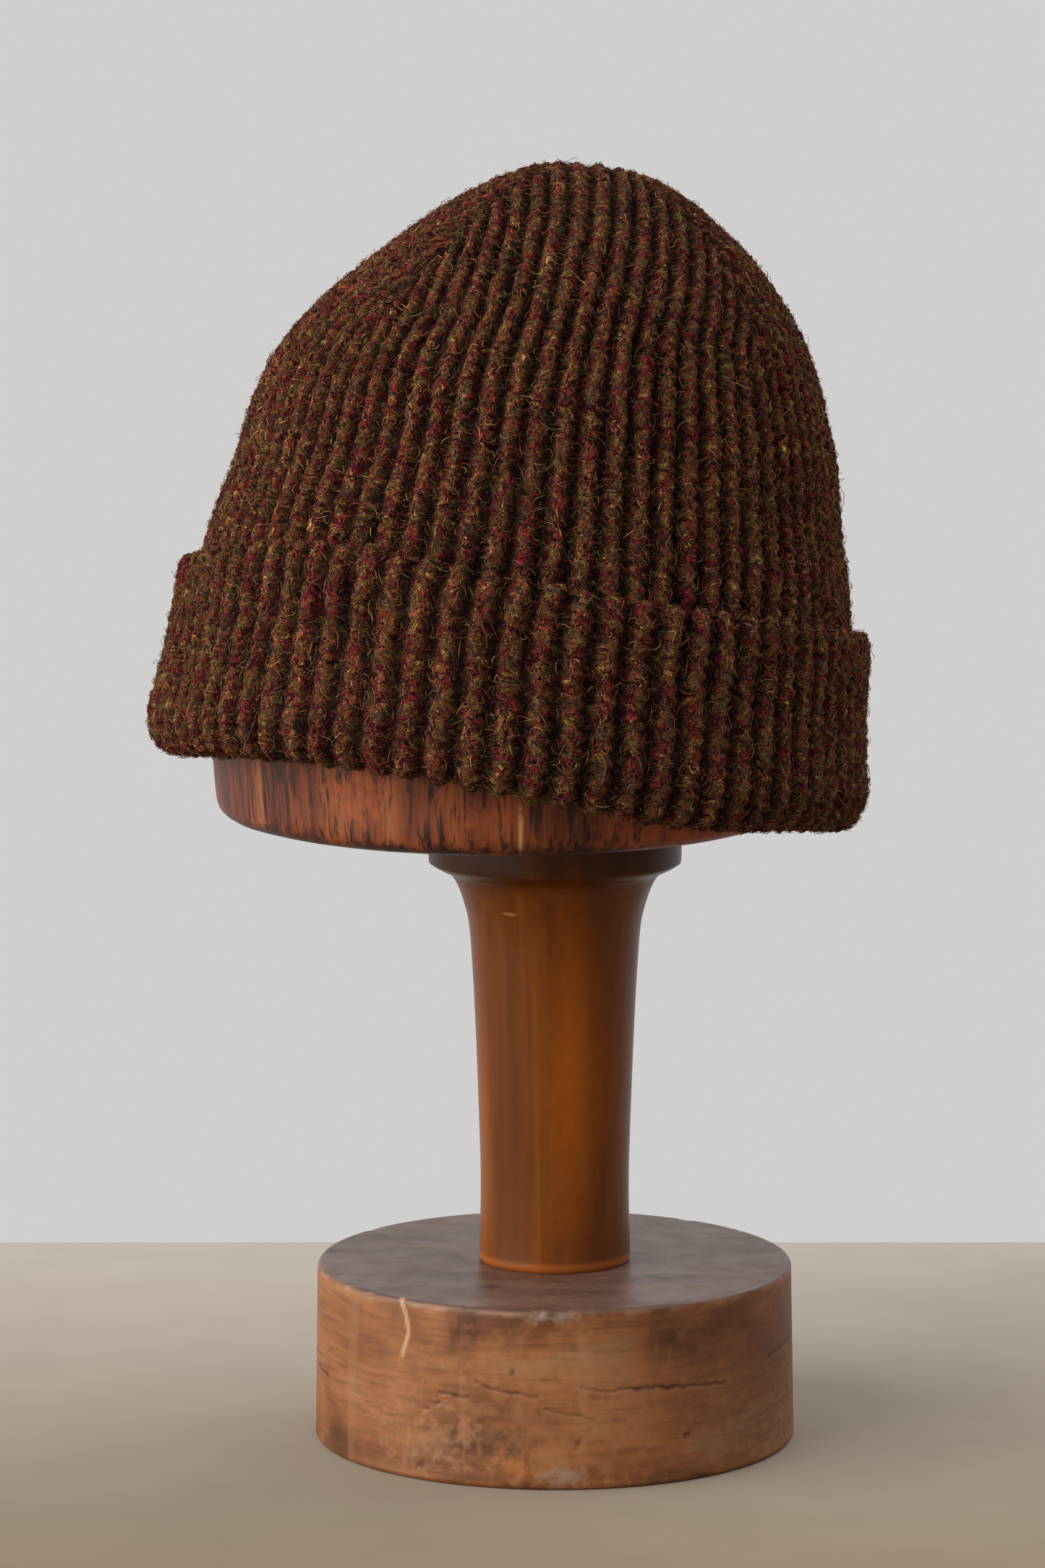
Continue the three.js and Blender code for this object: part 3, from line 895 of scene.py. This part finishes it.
class Nodes:
    """Short ways to add nodes to a material."""

    def __init__(self, name):
        self.material = bpy.data.materials.new(name)
        self.material.use_nodes = True
        self.tree = self.material.node_tree
        self.shader = self.tree.nodes["Principled BSDF"]

    def add(self, kind, **settings):
        node = self.tree.nodes.new(kind)
        for key, value in settings.items():
            setattr(node, key, value)
        return node

    def link(self, source, target):
        self.tree.links.new(source, target)

    def feed(self, value, socket):
        """Gives a socket a number, an sRGB colour or another node's output."""
        if isinstance(value, tuple):
            socket.default_value = (*linear(value), 1)
        elif isinstance(value, (int, float)):
            socket.default_value = value
        else:
            self.link(value, socket)

    def place(self, scale=(1, 1, 1), move=(0, 0, 0)):
        """Object coordinates, stretched by a scale for each axis and moved."""
        coordinates = self.add("ShaderNodeTexCoord")
        mapping = self.add("ShaderNodeMapping")
        put(mapping, Scale=scale, Location=move)
        self.link(coordinates.outputs["Object"], mapping.inputs["Vector"])
        return mapping.outputs["Vector"]

    def along(self, axis):
        """Object coordinate along X, Y or Z, in metres."""
        split = self.add("ShaderNodeSeparateXYZ")
        self.link(self.place(), split.inputs[0])
        return split.outputs[axis]

    def noise(self, vector, scale, detail=3, distortion=0.0):
        node = self.add("ShaderNodeTexNoise")
        put(node, Scale=scale, Detail=detail, Distortion=distortion)
        self.link(vector, node.inputs["Vector"])
        return node.outputs["Fac"]

    def ramp(self, value, stops, interpolation="LINEAR"):
        node = self.add("ShaderNodeValToRGB")
        node.color_ramp.interpolation = interpolation
        elements = node.color_ramp.elements
        while len(elements) < len(stops):
            elements.new(0.5)
        for element, (position, colour) in zip(elements, stops):
            element.position = position
            element.color = (*linear(colour), 1)
        self.link(value, node.inputs["Fac"])
        return node.outputs["Color"]

    def span(self, value, low, high, from_value=0.0, to_value=1.0):
        """A value mapped from low and high onto another range, and kept inside it."""
        node = self.add("ShaderNodeMapRange")
        for number, socket in zip((value, low, high, from_value, to_value), node.inputs):
            self.feed(number, socket)
        return node.outputs["Result"]

    def mix(self, amount, first, second):
        """A colour between two others."""
        node = self.add("ShaderNodeMix", data_type="RGBA")
        for value, order in ((amount, 0), (first, 6), (second, 7)):
            self.feed(value, node.inputs[order])
        return node.outputs[2]

    def join(self, amount, first, second):
        """A number between two others."""
        node = self.add("ShaderNodeMix", data_type="FLOAT")
        for value, order in ((amount, 0), (first, 2), (second, 3)):
            self.feed(value, node.inputs[order])
        return node.outputs[0]

    def math(self, operation, *values):
        node = self.add("ShaderNodeMath", operation=operation)
        for value, socket in zip(values, node.inputs):
            self.feed(value, socket)
        return node.outputs[0]

    def stain_and_shade(self, colour, field, low, high, amount, stain):
        """The colour, mixed more and more towards a second colour as the field goes from low to
        high: used for stains, and in some places for painted shade.
        """
        return self.mix(self.span(field, low, high, 0.0, amount), colour, stain)

    def attribute(self, name, output="Fac"):
        return self.add("ShaderNodeAttribute", attribute_name=name).outputs[output]

    def marks_light_and_shade(self, colour, marks_and_light):
        """Marks on the front of the wood, some of them painted light and shade, from a table as
        above.
        """
        uneven = self.noise(self.place(), 330, 4)
        front = self.span(self.along("Y"), -5 * MM, -15 * MM)
        flat = self.place((1, 0, 1))
        for x, z, wide, high, frayed, strength, mark in marks_and_light:
            away = self.add("ShaderNodeMapping", vector_type="TEXTURE")
            put(away, Location=(x * MM, 0, z * MM), Scale=(wide * MM, 1, high * MM))
            self.link(flat, away.inputs["Vector"])
            reach = self.add("ShaderNodeVectorMath", operation="LENGTH")
            self.link(away.outputs["Vector"], reach.inputs[0])
            edge = self.span(uneven, 0.3, 0.7, -frayed, frayed)
            edge = self.math("ADD", reach.outputs["Value"], edge)
            near = self.math("MULTIPLY", front, self.span(edge, 1.1, 0.1))
            colour = self.mix(self.math("MULTIPLY", near, strength), colour, mark)
        return colour

    def bump(self, height, strength, distance):
        node = self.add("ShaderNodeBump")
        put(node, Strength=strength, Distance=distance)
        self.link(height, node.inputs["Height"])
        self.link(node.outputs["Normal"], self.shader.inputs["Normal"])

    def colour(self, socket):
        self.link(socket, self.shader.inputs["Base Color"])

    def set(self, **values):
        put(self.shader, **values)


def strands(m, move, scale, count):
    """Curling bundles of strands: a number for each strand from 0 to 1, and its roundness."""
    field = m.noise(m.place(move=move), scale, 2, 0.9)
    lines = m.math("MULTIPLY", field, count)
    each = m.add("ShaderNodeTexWhiteNoise", noise_dimensions="1D")
    m.link(m.math("FLOOR", lines), each.inputs["W"])
    from_middle = m.math("ABSOLUTE", m.math("SUBTRACT", m.math("FRACT", lines), 0.5))
    return each.outputs["Value"], m.span(from_middle, 0.5, 0.1)


def strand_stops():
    """Where each strand colour starts on a ramp."""
    total = sum(share for share, _ in STRANDS)
    stops = []
    reached = 0.0
    for share, colour in STRANDS:
        stops.append((0.06 + 0.88 * reached / total, colour))
        reached += share
    return stops


def knit_material():
    """Heathered wool: bundles of curling strands in many colours, with painted shade between the
    strands and in the grooves.
    """
    m = Nodes("heathered_wool")
    place = m.place()
    lower, lower_round = strands(m, (0, 0, 0), 260, 28)
    upper, upper_round = strands(m, (0.13, 0.07, 0.05), 380, 22)
    on_top = m.span(m.noise(place, 420, 2, 0.5), 0.48, 0.53)
    strand = m.join(on_top, lower, upper)
    roundness = m.join(on_top, lower_round, upper_round)
    patch = m.span(m.noise(place, 260, 3, 0.6), 0.34, 0.66)
    colour = m.ramp(m.join(0.32, strand, patch), strand_stops(), "CONSTANT")
    # Painted shade: near black between the strands, where their roundness falls off.
    colour = m.stain_and_shade(colour, roundness, 0.7, 0.0, 0.6, (9, 6, 5))
    colour = m.stain_and_shade(colour, m.noise(place, 60, 3), 0.45, 0.62, 0.25, (20, 12, 8))
    # Painted shade: the grooves, the mitres and the hidden insides are darkened by how deep in a
    # groove they lie, broken up by noise.
    groove = m.span(m.attribute("groove"), 0.25, 1.0, 0.0, 0.95)
    broken = m.span(m.noise(place, 560, 2), 0.4, 0.6, 0.8, 1.0)
    m.colour(m.mix(m.math("MULTIPLY", groove, broken), colour, (17, 11, 13)))
    m.bump(roundness, 1.0, 0.0004)
    m.set(Roughness=0.95, Specular_IOR_Level=0.05)
    return m.material


def fibre_material():
    """Single wool fibres, each in its own colour."""
    m = Nodes("wool_fibre")
    yarn = m.attribute("yarn", "Color")
    uneven = m.span(m.noise(m.place(), 500, 2), 0.3, 0.7, 0.75, 1.15)
    tone = m.add("ShaderNodeVectorMath", operation="SCALE")
    m.link(yarn, tone.inputs[0])
    m.link(uneven, tone.inputs["Scale"])
    m.colour(tone.outputs[0])
    m.set(Roughness=0.9, Specular_IOR_Level=0.06)
    return m.material


# Colours of the broad grain, as places on a ramp and sRGB colours.
BLOCK_BANDS = (
    (0.36, (56, 24, 12)),
    (0.47, (98, 43, 19)),
    (0.55, (126, 63, 30)),
    (0.66, (124, 88, 64)),
)
STEM_BANDS = ((0.3, (94, 47, 13)), (0.5, (108, 56, 12)), (0.7, (122, 66, 14)))
BASE_SIDE_BANDS = (
    (0.32, (80, 45, 21)),
    (0.46, (121, 72, 38)),
    (0.58, (138, 87, 49)),
    (0.68, (138, 99, 64)),
    (0.8, (142, 118, 92)),
)
BASE_TOP_BANDS = ((0.3, (70, 50, 42)), (0.5, (90, 66, 56)), (0.7, (106, 82, 70)))


def block_material():
    """Old red-brown wood with upright grain, dark streaks and paler, greyer bands, and painted
    light on its shaded right side.
    """
    m = Nodes("old_block_wood")
    wood = m.ramp(m.noise(m.place((1, 1, 0.025)), 60, 4, 0.5), BLOCK_BANDS)
    streaks = m.noise(m.place((1, 1, 0.012)), 640, 5, 0.5)
    wood = m.stain_and_shade(wood, streaks, 0.48, 0.38, 0.85, (30, 13, 9))
    light = m.noise(m.place((1, 1, 0.04)), 380, 4, 0.5)
    wood = m.stain_and_shade(wood, light, 0.56, 0.7, 0.5, (144, 72, 32))
    pores = m.noise(m.place((1, 1, 0.035)), 820, 4)
    wood = m.stain_and_shade(wood, pores, 0.53, 0.64, 0.75, (22, 11, 9))
    ragged = m.math("MULTIPLY_ADD", m.noise(m.place(), 90, 4), -0.012, m.along("Z"))
    low = (BLOCK_UNDERSIDE - 6) * MM
    wood = m.stain_and_shade(wood, ragged, low + 4.5 * MM, low, 0.85, (20, 11, 9))
    m.colour(m.marks_light_and_shade(wood, BLOCK_MARKS_AND_LIGHT))
    m.link(m.span(streaks, 0.3, 0.7, 0.4, 0.58), m.shader.inputs["Roughness"])
    m.bump(pores, 0.35, 0.0003)
    m.set(Specular_IOR_Level=0.28)
    return m.material


def stem_material():
    """Orange-brown varnished wood with faint upright grain, paler round its foot, with painted
    shade at the flange under the block and painted light and shade in bands down its front.
    """
    m = Nodes("varnished_stem_wood")
    grain = m.noise(m.place((1, 1, 0.03)), 230, 5, 0.3)
    broad = m.noise(m.place((1, 1, 0.12)), 46, 3, 0.3)
    wood = m.ramp(grain, STEM_BANDS)
    wood = m.stain_and_shade(wood, broad, 0.4, 0.66, 0.8, (76, 38, 14))
    z = m.along("Z")
    foot = BASE_HEIGHT + 2
    wood = m.stain_and_shade(wood, z, (foot + 1.4) * MM, foot * MM, 0.6, (158, 84, 34))
    # Painted shade under the block: darker towards the flange.
    wood = m.stain_and_shade(wood, z, 163 * MM, 170.5 * MM, 0.7, (36, 16, 5))
    m.colour(m.marks_light_and_shade(wood, STEM_MARKS_LIGHT_AND_SHADE))
    m.link(m.span(grain, 0.3, 0.7, 0.32, 0.42), m.shader.inputs["Roughness"])
    m.bump(grain, 0.1, 0.0003)
    m.set(Coat_Weight=0.04, Coat_Roughness=0.2, Specular_IOR_Level=0.14)
    return m.material


def base_material():
    """Worn brown plank wood, greyer and smoother on top, with dark cracks and stains, and painted
    shade on its right side.
    """
    m = Nodes("worn_base_wood")
    grain = m.noise(m.place((0.06, 0.12, 1)), 560, 5, 0.3)
    cloud = m.noise(m.place((0.6, 0.6, 1)), 42, 5, 0.6)
    side = m.ramp(cloud, BASE_SIDE_BANDS)
    side = m.stain_and_shade(side, grain, 0.48, 0.68, 0.42, (66, 38, 22))
    fine = m.noise(m.place((0.08, 0.08, 1)), 900, 3)
    side = m.stain_and_shade(side, fine, 0.52, 0.7, 0.22, (58, 32, 20))
    runs = m.noise(m.place((1, 1, 0.08)), 150, 4, 0.4)
    side = m.stain_and_shade(side, runs, 0.56, 0.72, 0.3, (140, 100, 68))
    specks = m.noise(m.place(), 620, 2)
    side = m.stain_and_shade(side, specks, 0.71, 0.77, 0.4, (40, 24, 16))
    z = m.along("Z")
    worn = m.noise(m.place(), 130, 3)
    rim = m.span(z, (BASE_HEIGHT - 2.6) * MM, (BASE_HEIGHT - 1.2) * MM)
    rim = m.math("MULTIPLY", rim, m.span(worn, 0.42, 0.6, 0.0, 0.6))
    side = m.mix(rim, side, (160, 122, 92))
    high = m.span(z, (BASE_HEIGHT - 1.5) * MM, (BASE_HEIGHT - 0.3) * MM)
    top = m.ramp(m.noise(m.place((0.35, 1, 1)), 70, 4), BASE_TOP_BANDS)
    wood = m.mix(high, side, top)
    wood = m.stain_and_shade(wood, m.attribute("crack"), 0.0, 1.0, 0.85, (30, 17, 12))
    wood = m.mix(m.attribute("scratch"), wood, (176, 138, 96))
    m.colour(m.marks_light_and_shade(wood, BASE_MARKS_AND_SHADE))
    dull, sleek = m.span(cloud, 0.3, 0.7, 0.45, 0.6), m.span(worn, 0.3, 0.7, 0.3, 0.42)
    m.link(m.join(high, dull, sleek), m.shader.inputs["Roughness"])
    m.bump(grain, 0.25, 0.0003)
    m.set(Specular_IOR_Level=0.32)
    return m.material


def floor_material():
    """Pale matt plaster, with painted shade that makes it a little darker towards the front, as
    the light falls off.
    """
    m = Nodes("pale_table_top")
    # Painted shade: the light's falloff, darker towards the front.
    plaster_with_painted_falloff = m.mix(m.span(m.along("Y"), 0.25, -0.2), (170, 161, 151), (128, 112, 89))
    m.colour(m.stain_and_shade(plaster_with_painted_falloff, m.noise(m.place(), 26, 4), 0.3, 0.7, 0.12, (90, 80, 66)))
    m.set(Roughness=0.9)
    return m.material


# ---------- the scene

# Camera and lights, in metres and degrees.
CAMERA_PLACE = (-0.0094, -1.7, 0.4217)
CAMERA_PITCH = 7.72
CAMERA_LENS = 136.4
MIDDLE = (0, 0, 0.2)
# Name, place, what it points at, size, power and colour.
LIGHTS = (
    ("key", (-1.78, -0.85, 0.95), MIDDLE, (3, 2.2), 88, (1, 0.97, 0.94)),
    ("fill", (1.6, -1.8, 0.9), MIDDLE, (2, 2), 1.5, (0.98, 0.98, 1)),
    ("above", (0.9, 0.7, 1.2), (0, 0, 0), (1.6, 1), 10, (1, 1, 1)),
)
WALL_COLOUR = (1, 0.975, 0.965, 1)
WALL_BRIGHTNESS = 0.64


def finished(obj, material, slot, *replaced):
    """Gives a piece its material and its place in the frame, and hides the nodes that it stands
    for.
    """
    obj.data.materials.append(material)
    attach(obj, "root")
    if replaced:
        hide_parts(*replaced)
    return obj


def panel_cut(knit):
    """The flat size of a crown panel before it was joined, and its area."""
    s = np.linspace(0, knit.outline.length, 400)
    width = oval_length(knit.outline.at(s)[0]) / PANELS
    area = np.sum((width[1:] + width[:-1]) / 2 * np.diff(s))
    return width.max(), knit.outline.length, area


def build_hat(crown, cuff):
    wool = knit_material()
    fibre = fibre_material()
    width, length, area = panel_cut(crown)
    visible = crown.outline.where_height(PANEL_FIBRES_FROM)
    for index, name in enumerate(PANEL_NAMES):
        panel = finished(make_panel(crown, index), wool, "knit", "hat_crown")
        fuzz = make_fibres(f"fuzz_crown_{name}", crown, [index], visible, PANEL_FIBRES, 40 + index)
        finished(fuzz, fibre, "knit")
    ring = finished(make_cuff(cuff), wool, "knit", "hat_cuff")
    for name, panels, seed in (("front", [0, 3], 50), ("back", [1, 2], 51)):
        fuzz = make_fibres(
            f"fuzz_cuff_{name}", cuff, panels, CUFF_FIBRES_FROM, CUFF_FIBRES, seed
        )
        finished(fuzz, fibre, "knit")


def build_stand(crown):
    finished(make_block(crown), block_material(), "block_wood", "stand_block")
    finished(make_stem(), stem_material(), "stem_wood", "stand_stem")
    finished(make_base(), base_material(), "base_wood", "stand_base")


def make_room():
    """A pale table top. The wall behind it is the world's plain colour."""
    near, back_edge, side = -4000, 262, 4000
    corners = [(-side, near, 0), (side, near, 0), (side, back_edge, 0), (-side, back_edge, 0)]
    floor = mesh_object("floor", corners, [[0, 1, 2, 3]])
    floor.data.materials.append(floor_material())


def make_camera():
    camera = bpy.data.cameras.new("camera")
    camera.sensor_width = 36
    camera.lens = CAMERA_LENS
    obj = bpy.data.objects.new("camera", camera)
    obj.location = CAMERA_PLACE
    obj.rotation_euler = (math.radians(90 - CAMERA_PITCH), 0, 0)
    bpy.context.scene.collection.objects.link(obj)
    bpy.context.scene.camera = obj


def make_light(name, place, target, size, power, colour):
    light = bpy.data.lights.new(name, "AREA")
    light.shape = "RECTANGLE"
    light.size, light.size_y = size
    light.energy = power
    light.color = colour
    obj = bpy.data.objects.new(name, light)
    obj.location = place
    direction = Vector(target) - Vector(place)
    obj.rotation_euler = direction.to_track_quat("-Z", "Y").to_euler()
    bpy.context.scene.collection.objects.link(obj)


def make_lights():
    """Soft window light from the left, two weaker lights and the wall's own brightness."""
    for light in LIGHTS:
        make_light(*light)
    world = bpy.data.worlds.new("studio")
    world.use_nodes = True
    put(world.node_tree.nodes["Background"], Color=WALL_COLOUR, Strength=WALL_BRIGHTNESS)
    bpy.context.scene.world = world
    bpy.context.scene.view_settings.view_transform = "Standard"


crown_knit = Knit(CROWN_SECTIONS, True, 7)
cuff_knit = Knit(CUFF_OUTSIDE, False, 17)
make_camera()
make_room()
make_lights()
build_stand(crown_knit)
build_hat(crown_knit, cuff_knit)
